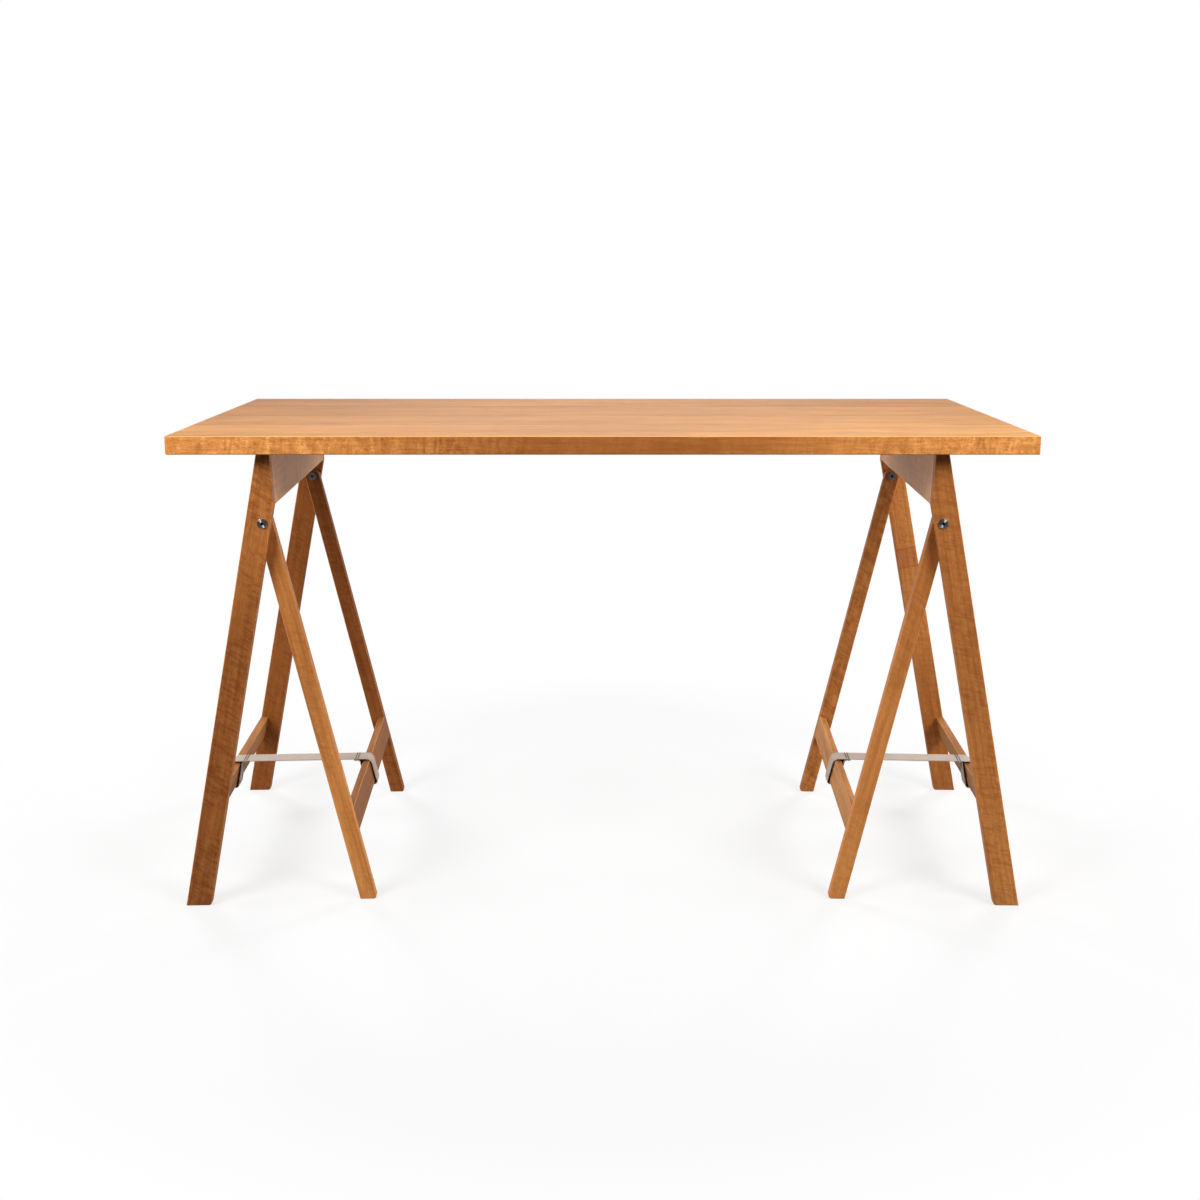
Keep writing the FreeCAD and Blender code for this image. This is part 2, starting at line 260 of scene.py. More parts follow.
def wood_finish(graph, place, colour, lines, gloss):
    """Oiled surface: fine open pores along the grain, uneven gloss and slight relief."""
    pores = graph.noise(place, PORE_WAVES, detail=2.0, roughness=0.7)
    open_pores = graph.span(pores, *PORE_LEVELS)
    colour = graph.mix(graph.math("MULTIPLY", open_pores, PORE_SHARE), colour, PORE_COLOUR)
    roughness = graph.span(lines, *GLOSS_LEVELS, *WOOD_ROUGHNESS)
    height = graph.math("SUBTRACT", graph.math("MULTIPLY", lines, LINE_HEIGHT), open_pores)
    normal = graph.bump(height, RELIEF_STRENGTH, RELIEF_DEPTH)
    graph.shade(Base_Color=colour, Roughness=roughness, Normal=normal)
    graph.shade(IOR=WOOD_IOR, Specular_IOR_Level=gloss)


# Powers of a tone on the green and blue channels
GREEN_POWER = 1.25
BLUE_POWER = 1.4


def tint(tone):
    """Factor of a tone on each channel: darker wood is also redder."""
    return (tone, tone ** GREEN_POWER, tone ** BLUE_POWER, 1)


def toned(graph, colour, coordinate, low, high, tone_low, tone_high):
    """The colour, darker or paler from one place to another along a coordinate."""
    share = graph.span(coordinate, low, high)
    return graph.mix(1.0, colour, graph.mix(share, tint(tone_low), tint(tone_high)), "MULTIPLY")


# Curly figure of the legs and rails
CURL_SLANT = math.radians(-22)
CURL_WAVES = (215.0, 45.0, 45.0)
CURL_LEVELS = (0.40, 0.66)
CURL_TONE = 0.58
CURL_PATCH_WAVES = (9.0, 16.0, 16.0)
CURL_PATCH_LEVELS = (0.30, 0.48)


def curl_figure(graph, place, colour, amount):
    """Fine dark ripples that slant across the grain, in patches."""
    inputs = {"Vector": place, "Rotation": (0, CURL_SLANT, 0)}
    slanted = graph.add("ShaderNodeMapping", inputs).outputs["Vector"]
    waves = graph.noise(slanted, CURL_WAVES, detail=2.0, roughness=0.6, distortion=0.5)
    patches = graph.span(graph.noise(place, CURL_PATCH_WAVES, detail=1.0), *CURL_PATCH_LEVELS)
    share = graph.math("MULTIPLY", graph.span(waves, *CURL_LEVELS, 0.0, amount), patches)
    return graph.mix(share, colour, graph.mix(1.0, colour, tint(CURL_TONE), "MULTIPLY"))


# Painted highlight, and wear, on the rounded edges of the legs and rails
FRAME_ARRIS_HIGHLIGHT_SLOPES = (0.2, 0.55)
FRAME_ARRIS_HIGHLIGHT_SHARE = 0.55


def arris_highlight_and_wear(graph, turn, colour, wood):
    """Paler wood on the rounded edges that run along the grain: a painted highlight where they catch the
    light, and wear.
    """
    normal = graph.coordinates("Normal")
    slopes = [graph.math("ABSOLUTE", graph.vector("DOT_PRODUCT", normal, turn[row])) for row in (1, 2)]
    arris = graph.math("MINIMUM", slopes[0], slopes[1])
    return graph.mix(graph.span(arris, *FRAME_ARRIS_HIGHLIGHT_SLOPES, 0.0, FRAME_ARRIS_HIGHLIGHT_SHARE), colour, opaque(wood[2]))


# Let-in repair of one leg
REPAIR_HALF = 0.018
REPAIR_BLUR = 0.0006
REPAIR_TINT = (0.90, 0.81, 0.95, 1)
REPAIR_HEIGHT = 0.455
REPAIR_JOINT = (0.0016, 0.0004)
REPAIR_JOINT_SHARE = 0.5


def repair(graph, turn, colour, middle):
    """A block let into the leg: greyer wood between two thin dark joints across the grain."""
    along = graph.add("ShaderNodeSeparateXYZ", {"Vector": graph.position(turn)}).outputs["X"]
    from_middle = graph.apart(along, (turn @ middle).x)
    inside = graph.span(from_middle, REPAIR_HALF + REPAIR_BLUR, REPAIR_HALF - REPAIR_BLUR)
    colour = graph.mix(inside, colour, graph.mix(1.0, colour, REPAIR_TINT, "MULTIPLY"))
    from_joint = graph.apart(from_middle, REPAIR_HALF)
    joint = graph.span(from_joint, *REPAIR_JOINT, 0.0, REPAIR_JOINT_SHARE)
    return graph.mix(joint, colour, opaque(FRAME_WOOD[0]))


# Heights at which a leg has its foot, middle and top tones
FOOT_HEIGHT = 0.12
MIDDLE_HEIGHT = 0.40
TOP_HEIGHT = 0.66


def frame_wood(name, turn, seed, finish, tones, figure, repaired=None):
    """Wood of a leg or rail, with its tones, which are partly painted shade and painted light, its amounts
    of flecks and curl, and its repair.
    """
    graph = Surface(name)
    wood, gloss, streak, fleck = finish
    foot, middle, top = tones
    fleck_amount, curl_amount = figure
    place = grown(graph, seed, turn)
    pale_amount = PALE_FLECK_SHARE * fleck_amount
    colour, lines = wood_colour(graph, place, wood, streak, fleck, fleck_amount, pale_amount)
    colour = curl_figure(graph, place, colour, curl_amount)
    height = graph.parts("Object")["Z"]
    # The tones along the height are partly the wood's own and partly painted shade and painted light
    colour = toned(graph, colour, height, FOOT_HEIGHT, MIDDLE_HEIGHT, foot, middle)
    colour = toned(graph, colour, height, MIDDLE_HEIGHT, TOP_HEIGHT, 1.0, top / middle)
    if repaired:
        colour = repair(graph, turn, colour, repaired)
    # Painted highlight, and wear, along the rounded edges
    colour = arris_highlight_and_wear(graph, turn, colour, wood)
    wood_finish(graph, place, colour, lines, gloss)
    return graph.material


# Top panels of the trestles
PANEL_STREAKS = (9.0, 150.0, 150.0)
PANEL_RIPPLES = (70.0, 17.0, 70.0)
PANEL_DARK = 0.28
PANEL_PALE = 0.22
PANEL_GLOSS = 0.4


def panel_wood(name, turn, seed):
    """Greyer wood of the top panels, with a fine grain along them and soft ripples across it."""
    graph = Surface(name)
    place = grown(graph, seed, turn)
    figure = (PANEL_STREAKS, PANEL_RIPPLES, PANEL_DARK, PANEL_PALE)
    colour, lines = wood_colour(graph, place, PANEL_WOOD, *figure)
    wood_finish(graph, place, colour, lines, PANEL_GLOSS)
    return graph.material


# Front edge of the top: waves, amounts, where along it the figure is quiet, and its painted shade in the
# middle and painted light towards the ends
EDGE_BAND_WAVES = (45.0, 12.0, 14.0)
EDGE_DASH_WAVES = (170.0, 60.0, 360.0)
EDGE_LINE_WAVES = (16.0, 60.0, 260.0)
EDGE_CURL = 0.5
EDGE_LINES = 0.3
EDGE_TONE_PLACES = (0.26, 0.50, 0.74)
QUIET_MIDDLE = 0.12
QUIET_REACH = (0.12, 0.42)
QUIET_SHARE = 0.30
PAINTED_SHADE_MIDDLE = 0.008
PAINTED_SHADE_REACH = (0.12, 0.50)
EDGE_MIDDLE_PAINTED_SHADE = 0.62
EDGE_END_PAINTED_LIGHT = 1.20


def edge_figure(graph, place):
    """Long edge of the top: fine pale and dark dashes over broad wavy bands, quieter in the middle, with
    painted shade in the middle and painted light towards the ends.
    """
    along = graph.parts("Object")["X"]
    bands = graph.noise(place, EDGE_BAND_WAVES, detail=2.0, roughness=0.5, distortion=2.2)
    dashes = graph.noise(place, EDGE_DASH_WAVES, detail=2.0, roughness=0.6, distortion=1.2)
    lines = graph.noise(place, EDGE_LINE_WAVES, detail=3.0, roughness=0.6)
    figure = graph.span(graph.apart(along, QUIET_MIDDLE), *QUIET_REACH, QUIET_SHARE, 1.0)
    curl = graph.math("ADD", graph.swing(bands, EDGE_CURL), graph.swing(dashes, EDGE_CURL))
    curl = graph.math("MULTIPLY", curl, figure)
    tone = graph.math("ADD", graph.math("ADD", curl, graph.swing(lines, EDGE_LINES)), 0.5)
    colour = graph.ramp(tone, EDGE_TONE_PLACES, EDGE_WOOD)
    # Painted shade in the middle of the edge, and painted light towards its ends
    from_middle = graph.apart(along, PAINTED_SHADE_MIDDLE)
    return toned(graph, colour, from_middle, *PAINTED_SHADE_REACH, EDGE_MIDDLE_PAINTED_SHADE, EDGE_END_PAINTED_LIGHT)


# Growth rings on the ends of the boards
RINGS_PER_METRE = 330.0
RING_SWAY_WAVES = (1.0, 55.0, 55.0)
RING_SWAY = 0.006
RING_LEVELS = (0.32, 0.62)
RING_COLOURS = (shade_of(TOP_WOOD[0], 0.75), shade_of(TOP_WOOD[1], 0.95))
HEART_BELOW = 0.03
HEART_ABOVE = 0.05


def end_grain(graph, place, spot, heart):
    """Growth rings on the sawn ends of a board, round the heart of its tree."""
    across = graph.math("SUBTRACT", spot["Y"], heart[0])
    up = graph.math("SUBTRACT", spot["Z"], heart[1])
    squares = graph.math("ADD", graph.math("MULTIPLY", across, across), graph.math("MULTIPLY", up, up))
    sway = graph.math("MULTIPLY", graph.noise(place, RING_SWAY_WAVES, detail=2.0), RING_SWAY)
    radius = graph.math("ADD", graph.math("SQRT", squares), sway)
    rings = graph.noise_along(radius, RINGS_PER_METRE, detail=3.0)
    return graph.ramp(rings, RING_LEVELS, RING_COLOURS)


# Boards of the top: waves, levels of noise, shares, and slopes at which their edges begin
BOARD_STREAKS = (2.6, 95.0, 95.0)
BOARD_FLECKS = (17.0, 150.0, 150.0)
BOARD_DARK = 0.5
BOARD_PALE = 0.35
BROAD_WAVES = (4.0, 15.0, 15.0)
BROAD_LEVELS = (0.30, 0.70)
BROAD_TONES = (0.91, 1.08)
VEIN_WAVES = (9.0, 120.0, 120.0)
VEIN_LEVELS = (0.60, 0.72)
VEIN_SHARE = 0.6
VEIN_COLOUR = opaque(shade_of(TOP_WOOD[0], 0.7))
TONE_REACH = 0.50
JOINT_WIDTH = 0.0045
JOINT_CORE = 0.2 * JOINT_WIDTH
JOINT_COLOUR = opaque(shade_of(TOP_WOOD[0], 0.35))
JOINT_WAVES = (5.0, 1.0, 1.0)
JOINT_LEVELS = (0.35, 0.6)
JOINT_FAINT = 0.35
EDGE_SLOPES = (0.35, 0.75)
BOARD_ARRIS_HIGHLIGHT_SLOPES = (0.25, 0.6)
BOARD_ARRIS_HIGHLIGHT_SHARE = 0.8
BOARD_ARRIS_HIGHLIGHT_COLOUR = (0.98, 0.52, 0.18, 1)
END_SLOPES = (0.5, 0.8)
END_SHARE = 0.8


def board_wood(name, seed, tones, joints, gloss, heart):
    """A board of the top: face grain, a curly figure on the front edge, a painted highlight and wear on its
    front arris, end grain and dark glue joints.
    """
    graph = Surface(name)
    place = grown(graph, seed)
    face, lines = wood_colour(graph, place, TOP_WOOD, BOARD_STREAKS, BOARD_FLECKS, BOARD_DARK, BOARD_PALE)
    broad = graph.noise(place, BROAD_WAVES, detail=3.0, roughness=0.6, distortion=0.6)
    face = toned(graph, face, broad, *BROAD_LEVELS, *BROAD_TONES)
    veins = graph.noise(place, VEIN_WAVES, detail=3.0, roughness=0.6)
    face = graph.mix(graph.span(veins, *VEIN_LEVELS, 0.0, VEIN_SHARE), face, VEIN_COLOUR)
    spot = graph.parts("Object")
    left, middle, right = tones
    # Tones along the board: partly its own and partly painted light and shade
    face = toned(graph, face, spot["X"], -TONE_REACH, 0.0, left, middle)
    face = toned(graph, face, spot["X"], 0.0, TONE_REACH, 1.0, right / middle)
    uneven = graph.noise(place, JOINT_WAVES, detail=2.0)
    for joint, depth in joints:
        line = graph.span(graph.apart(spot["Y"], joint), JOINT_WIDTH, JOINT_CORE)
        line = graph.math("MULTIPLY", line, graph.span(uneven, *JOINT_LEVELS, JOINT_FAINT * depth, depth))
        face = graph.mix(line, face, JOINT_COLOUR)
    facing = graph.parts("Normal")
    forward = graph.math("MULTIPLY", facing["Y"], -1.0)
    colour = graph.mix(graph.span(forward, *EDGE_SLOPES), face, edge_figure(graph, place))
    # Painted highlight, and wear, along the rounded arris where the front edge meets the top
    arris = graph.math("MINIMUM", forward, facing["Z"])
    colour = graph.mix(graph.span(arris, *BOARD_ARRIS_HIGHLIGHT_SLOPES, 0.0, BOARD_ARRIS_HIGHLIGHT_SHARE), colour, BOARD_ARRIS_HIGHLIGHT_COLOUR)
    endways = graph.span(graph.math("ABSOLUTE", facing["X"]), *END_SLOPES, 0.0, END_SHARE)
    colour = graph.mix(endways, colour, end_grain(graph, place, spot, heart))
    wood_finish(graph, place, colour, lines, gloss)
    return graph.material


# Dowels
DOWEL_WAVES = (500.0, 25.0, 500.0)
DOWEL_PLACES = (0.3, 0.7)
DOWEL_COLOURS = ((0.42, 0.27, 0.14), (0.68, 0.50, 0.30))
DOWEL_LEVELS = (0.2, 0.8)
DOWEL_ROUGHNESS = (0.5, 0.65)
DOWEL_RELIEF = (0.3, 0.0003)


def dowel_wood():
    """Raw wood of the hidden dowels."""
    graph = Surface("dowel_wood")
    lines = graph.noise(graph.position(), DOWEL_WAVES, detail=3.0)
    colour = graph.ramp(lines, DOWEL_PLACES, DOWEL_COLOURS)
    roughness = graph.span(lines, *DOWEL_LEVELS, *DOWEL_ROUGHNESS)
    graph.shade(Base_Color=colour, Roughness=roughness, Normal=graph.bump(lines, *DOWEL_RELIEF))
    return graph.material


# Metal: colour, roughness and anisotropy of bolts and washers, turning marks, and the shade in the sockets
BOLT_METAL = ((0.36, 0.36, 0.37), 0.26, 0.98)
WASHER_METAL = ((0.55, 0.55, 0.56), 0.32, 0.4)
TURNING_MARKS = 4000.0
MARK_LEVELS = (0.3, 0.7)
MARK_TONE = 0.85
MARK_ROUGHNESS_SHARES = (0.8, 1.2)
SOCKET_RADII = (0.0025, 0.0019)
SOCKET_COLOUR = (0.02, 0.02, 0.02, 1)


def turned_metal(name, side, base, roughness, anisotropy):
    """Bright metal with fine circular turning marks round the pivot axis."""
    graph = Surface(name)
    axis = trestle_direction(side, 0, 1, 0)
    from_axis = graph.vector("SUBTRACT", graph.coordinates("Object"), trestle_point(side, 0, 0, 0))
    round_it = graph.vector("CROSS_PRODUCT", axis, from_axis)
    outward = graph.vector("CROSS_PRODUCT", round_it, axis)
    radius = graph.vector("LENGTH", round_it)
    marks = graph.noise_along(radius, TURNING_MARKS, detail=2.0)
    colour = graph.ramp(marks, MARK_LEVELS, (shade_of(base, MARK_TONE), base))
    colour = graph.mix(graph.span(radius, *SOCKET_RADII), colour, SOCKET_COLOUR)
    uneven = graph.span(marks, *MARK_LEVELS, *(roughness * share for share in MARK_ROUGHNESS_SHARES))
    graph.shade(Base_Color=colour, Metallic=1.0, Roughness=uneven, Anisotropic=anisotropy, Tangent=outward)
    return graph.material


# Webbing and its thread
WARP_PITCH = 0.0034
WEFT_PITCH = 0.0022
SOIL_WAVES = (45.0, 60.0, 60.0)
WEAVE_SHADE_SHARE = 0.5
SOIL_SHARE = 0.5
WEBBING_PLACES = (0.15, 0.75)
WEBBING_COLOURS = ((0.31, 0.235, 0.185), (0.47, 0.375, 0.31))
WEBBING_ROUGHNESS = 0.9
WEBBING_SHEEN = 0.2
WEAVE_RELIEF = (0.5, 0.0002)
SELVEDGE_REACH = (0.0175, 0.0195)
SELVEDGE_TONE = 0.72
THREAD_WAVES = (2200.0, 2200.0, 2200.0)
THREAD_PLACES = (0.35, 0.65)
THREAD_COLOURS = ((0.045, 0.036, 0.028), (0.10, 0.08, 0.06))
THREAD_ROUGHNESS = 0.7
THREAD_RELIEF = (0.5, 0.0001)


def webbing():
    """Undyed woven webbing: threads over and under each other with painted shade in the weave's hollows,
    darker at the selvedges, a little soiled.
    """
    graph = Surface("webbing")
    flat = graph.parts("UV")
    across = graph.math("SINE", graph.math("MULTIPLY", flat["X"], math.pi / WARP_PITCH))
    along = graph.math("SINE", graph.math("MULTIPLY", flat["Y"], 2 * math.pi / WEFT_PITCH))
    weave = graph.span(graph.math("MULTIPLY", across, along), -1.0, 1.0)
    soil = graph.noise(graph.coordinates("Object"), SOIL_WAVES, detail=3.0)
    soil = graph.math("MULTIPLY", soil, SOIL_SHARE)
    # The weave's colour is darker in its hollows: painted shade
    tone = graph.math("ADD", graph.math("MULTIPLY", weave, WEAVE_SHADE_SHARE), soil)
    colour = graph.ramp(tone, WEBBING_PLACES, WEBBING_COLOURS)
    from_middle = graph.math("ABSOLUTE", flat["X"])
    colour = toned(graph, colour, from_middle, *SELVEDGE_REACH, 1.0, SELVEDGE_TONE)
    graph.shade(Base_Color=colour, Normal=graph.bump(weave, *WEAVE_RELIEF))
    graph.shade(Roughness=WEBBING_ROUGHNESS, Sheen_Weight=WEBBING_SHEEN)
    return graph.material


def thread():
    """Waxed sewing thread, twisted."""
    graph = Surface("thread")
    twist = graph.noise(graph.position(), THREAD_WAVES, detail=1.0)
    colour = graph.ramp(twist, THREAD_PLACES, THREAD_COLOURS)
    graph.shade(Base_Color=colour, Roughness=THREAD_ROUGHNESS, Normal=graph.bump(twist, *THREAD_RELIEF))
    return graph.material


def paint(node_name, material):
    node = frame["nodes"][node_name]
    node.data.materials.clear()
    node.data.materials.append(material)


def grain(along, across):
    """Turn from the table's frame to a piece's own, with the grain along x."""
    along = along.normalized()
    across = (across - along * across.dot(along)).normalized()
    return Matrix((along, across, along.cross(across)))


# Tones of each piece at its foot, middle and top, how much it is flecked, and how much it is curled
# The tones are partly the wood's own and partly painted shade and painted light for how each piece sits in
# the light
PIECE_TONES_AND_PAINTED_SHADING = {
    "left_outer_leg_front": (0.73, 0.69, 1.07, 0.5, 0.7),
    "left_inner_leg_front": (1.41, 1.16, 1.03, 0.3, 0.3),
    "left_outer_leg_back": (0.58, 0.61, 0.75, 0.35, 0.5),
    "left_inner_leg_back": (0.53, 0.45, 0.40, 0.45, 0.5),
    "right_outer_leg_front": (1.28, 0.85, 0.87, 0.45, 0.5),
    "right_inner_leg_front": (1.28, 1.07, 0.83, 0.35, 0.3),
    "right_outer_leg_back": (0.85, 1.18, 1.58, 0.4, 0.3),
    "right_inner_leg_back": (0.88, 0.97, 0.84, 0.75, 0.6),
    "left_outer_rail": (0.80, 0.80, 0.80, 0.35, 0.2),
    "left_inner_rail": (0.53, 0.53, 0.53, 0.35, 0.2),
    "right_outer_rail": (0.80, 0.80, 0.80, 0.35, 0.2),
    "right_inner_rail": (0.91, 0.91, 0.91, 0.35, 0.2),
}
REPAIRED_LEG = "right_outer_leg_back"
SPOTTED_LEG = "right_inner_leg_back"

# Wood, gloss, and the waves to the metre of the streaks and flecks, of legs and rails
LEG_FINISH = (FRAME_WOOD, 0.28, (5.0, 170.0, 170.0), (85.0, 300.0, 300.0))
SPOTTED_LEG_FINISH = (FRAME_WOOD, 0.28, (5.0, 170.0, 170.0), (42.0, 75.0, 75.0))
RAIL_FINISH = (RAIL_WOOD, 0.12, (2.5, 85.0, 85.0), (12.0, 240.0, 240.0))

# First seeds of the frames, the panels and the boards
FRAME_SEED = 1
PANEL_SEED = 20
BOARD_SEED = 30

for number, (node_name, (foot, middle, top, *figure)) in enumerate(PIECE_TONES_AND_PAINTED_SHADING.items()):
    side = node_name.split("_")[0]
    level = trestle_direction(side, 0, 1, 0)
    if "leg" in node_name:
        lean = OUTER_LEAN if "outer" in node_name else INNER_LEAN
        along = trestle_direction(side, math.sin(lean), 0, math.cos(lean))
        turn = grain(along, level)
        finish = SPOTTED_LEG_FINISH if node_name == SPOTTED_LEG else LEG_FINISH
    else:
        turn = grain(level, Vector((0, 0, 1)))
        finish = RAIL_FINISH
    repaired = None
    if node_name == REPAIRED_LEG:
        repaired = trestle_point(side, 0, 0, 0) + along * (REPAIR_HEIGHT - PIVOT.z) / along.z
    tones = (foot, middle, top)
    seed = number + FRAME_SEED
    paint(node_name, frame_wood(node_name + "_wood", turn, seed, finish, tones, figure, repaired))

for number, side in enumerate(SIDES):
    turn = grain(trestle_direction(side, 0, 1, 0), Vector((0, 0, 1)))
    paint(side + "_top_panel", panel_wood(side + "_top_panel_wood", turn, number + PANEL_SEED))

# Tones of the boards of the top, front to back, at their left, middle and right: partly the boards' own and
# partly painted light and shade along the top
BOARD_TONES_AND_PAINTED_LIGHT = ((1.11, 1.04, 1.30), (0.93, 0.97, 1.15), (0.92, 0.93, 1.05), (0.78, 0.99, 0.88))
BOARD_GLOSS = (0.5, 0.46, 0.37, 0.39)
# How dark the glue joints are, from the front edge to the back one
JOINT_DEPTHS = (0.0, 0.25, 0.9, 0.8, 0.0)
for number, (tones, gloss) in enumerate(zip(BOARD_TONES_AND_PAINTED_LIGHT, BOARD_GLOSS)):
    node_name = "tabletop_board_%d" % (number + 1)
    low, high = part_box(node_name)
    joints = list(zip((low[1], high[1]), JOINT_DEPTHS[number:number + 2]))
    heart_height = low[2] - HEART_BELOW if number % 2 else high[2] + HEART_ABOVE
    heart = ((low[1] + high[1]) / 2, heart_height)
    paint(node_name, board_wood(node_name + "_wood", number + BOARD_SEED, tones, joints, gloss, heart))

raw_dowel = dowel_wood()
for side in SIDES:
    chrome = turned_metal(side + "_bright_metal", side, *BOLT_METAL)
    steel = turned_metal(side + "_washer_steel", side, *WASHER_METAL)
    paint(side + "_pivot_bolts", chrome)
    paint(side + "_pivot_sleeve_nuts", chrome)
    paint(side + "_pivot_washers", steel)
    for name in ("outer_rail_dowels", "inner_rail_dowels", "top_panel_dowels"):
        paint(side + "_" + name, raw_dowel)


def link(name, data):
    item = bpy.data.objects.new(name, data)
    bpy.context.scene.collection.objects.link(item)
    return item


def finished(name, mesh):
    """Object with the faces of a bmesh, all facing outward."""
    bmesh.ops.recalc_face_normals(mesh, faces=mesh.faces)
    data = bpy.data.meshes.new(name)
    mesh.to_mesh(data)
    mesh.free()
    return link(name, data)


# Webbing straps, looped and sewn round the two low rails of each trestle
STRAP_TOP_GAP = 0.0010
STRAP_SIDE_GAP = 0.0026
STRAP_FAR_GAP = 0.0020
LAP_GAP = 0.0001
STRAP_LAP = 0.010
STRAP_BEND = 0.005
STRAP_TOP_BEND = 0.010
BEND_SHARE = 0.45
BEND_STEPS = 8
STRAP_STEP = 0.0015
STRAP_COLUMNS = 48
RIB_HEIGHT = 0.00008
SELVEDGE_THINNING = 0.6
SELVEDGE_POWER = 10
SEAM_LENGTH = 0.036
SEAM_INSETS = (0.003, 0.007)
STITCH_PITCH = 0.0036
STITCH_STEPS = 8
THREAD_RADIUS = 0.0005
THREAD_CORNERS = 6
THREAD_LIFT = 0.1
THREAD_SWING = 1.3

# Numbers of the strap's corners at the folds of its laps and at the ends of its upper run
OUTER_FOLD = 1
RUN_START = 4
RUN_END = 5
INNER_FOLD = 8


def rail_point(lean, across, up):
    """A point of a leaning frame, in its trestle's plane, from the pivot."""
    x = across * math.cos(lean) + up * math.sin(lean)
    z = up * math.cos(lean) - across * math.sin(lean)
    return Vector((x, z))


def meeting(a, along_a, b, along_b):
    """Where the line through a meets the line through b."""
    share = (b - a).cross(along_b) / along_a.cross(along_b)
    return a + along_a * share


def strap_corners():
    """Corners of the webbing's middle line, from the end of the outer lap to the end of the inner one."""
    half = STRAP_THICKNESS / 2
    top = -RAIL_DROP + STRAP_TOP_GAP + half
    low = -RAIL_DROP - RAIL_HEIGHT - STRAP_SIDE_GAP - half
    room = STRAP_SIDE_GAP + half
    outer_far = INNER_LEG_WIDTH / 2 - OUTER_LEG_WIDTH - STRAP_FAR_GAP - half
    outer_near = INNER_LEG_WIDTH / 2 - OUTER_LEG_WIDTH + RAIL_THICKNESS + room
    inner_far = INNER_LEG_WIDTH / 2 + room
    inner_near = INNER_LEG_WIDTH / 2 - RAIL_THICKNESS - room
    start = rail_point(OUTER_LEAN, outer_far, top)
    end = rail_point(INNER_LEAN, inner_far, top)
    along = (end - start).normalized()
    lap_line = start - Vector((-along.y, along.x)) * (STRAP_THICKNESS + LAP_GAP)
    outer_up = rail_point(OUTER_LEAN, 0, 1)
    inner_up = rail_point(INNER_LEAN, 0, 1)
    outer_fold = meeting(lap_line, along, rail_point(OUTER_LEAN, outer_near, 0), outer_up)
    inner_fold = meeting(lap_line, along, rail_point(INNER_LEAN, inner_near, 0), inner_up)
    return [
        outer_fold + along * STRAP_LAP,
        outer_fold,
        rail_point(OUTER_LEAN, outer_near, low),
        rail_point(OUTER_LEAN, outer_far, low),
        start,
        end,
        rail_point(INNER_LEAN, inner_far, low),
        rail_point(INNER_LEAN, inner_near, low),
        inner_fold,
        inner_fold - along * STRAP_LAP,
    ]


def strap_line(corners):
    """Points along the webbing's middle line, with a bend of its own at each corner."""
    points = []
    last = corners[0]
    for number in range(1, len(corners)):
        corner = corners[number]
        reach = 0.0
        if number < len(corners) - 1:
            after = corners[number + 1] - corner
            bend = STRAP_TOP_BEND if number in (RUN_START, RUN_END) else STRAP_BEND
            reach = min(bend, BEND_SHARE * after.length, BEND_SHARE * (corner - last).length)
        stop = corner - (corner - last).normalized() * reach
        count = max(1, round((stop - last).length / STRAP_STEP))
        points.extend(last.lerp(stop, step / count) for step in range(count))
        if reach == 0:
            points.append(stop)
            break
        leave = corner + after.normalized() * reach
        for step in range(BEND_STEPS):
            share = step / BEND_STEPS
            points.append(stop.lerp(corner, share).lerp(corner.lerp(leave, share), share))
        last = leave
    return points


def strap_mesh(name, side, points):
    """Flat woven strip along the line, and its length: warp ribs on both faces, thinner at its edges."""
    half_width = STRAP_WIDTH / 2
    columns = [half_width * (2 * number / STRAP_COLUMNS - 1) for number in range(STRAP_COLUMNS + 1)]
    around = [(y, 1) for y in columns] + [(y, -1) for y in reversed(columns)]
    mesh = bmesh.new()
    flat = mesh.loops.layers.uv.new("flat")
    rings = []
    distances = []
    distance = 0.0
    for number, point in enumerate(points):
        before = points[max(0, number - 1)]
        after = points[min(len(points) - 1, number + 1)]
        distance += (point - before).length
        distances.append(distance)
        along = (after - before).normalized()
        outward = Vector((-along.y, along.x))
        ring = []
        for y, face in around:
            edge = abs(y) / half_width
            thickness = STRAP_THICKNESS / 2 * (1 - SELVEDGE_THINNING * edge ** SELVEDGE_POWER)
            rib = RIB_HEIGHT * math.cos(2 * math.pi * y / WARP_PITCH)
            place = point + outward * face * (thickness + rib - RIB_HEIGHT)
            ring.append(mesh.verts.new(trestle_point(side, place.x, y, place.y)))
        rings.append(ring)
    size = len(around)
    for number in range(len(rings) - 1):
        for corner in range(size):
            other = (corner + 1) % size
            ends = ((number, corner), (number, other), (number + 1, other), (number + 1, corner))
            face = mesh.faces.new([rings[a][b] for a, b in ends])
            face.smooth = True
            for loop, (a, b) in zip(face.loops, ends):
                loop[flat].uv = (around[b][0], distances[a])
    for ring, length in ((rings[0], 0.0), (rings[-1], distance)):
        face = mesh.faces.new(ring)
        for loop in face.loops:
            loop[flat].uv = (0.0, length)
    return finished(name, mesh), distance


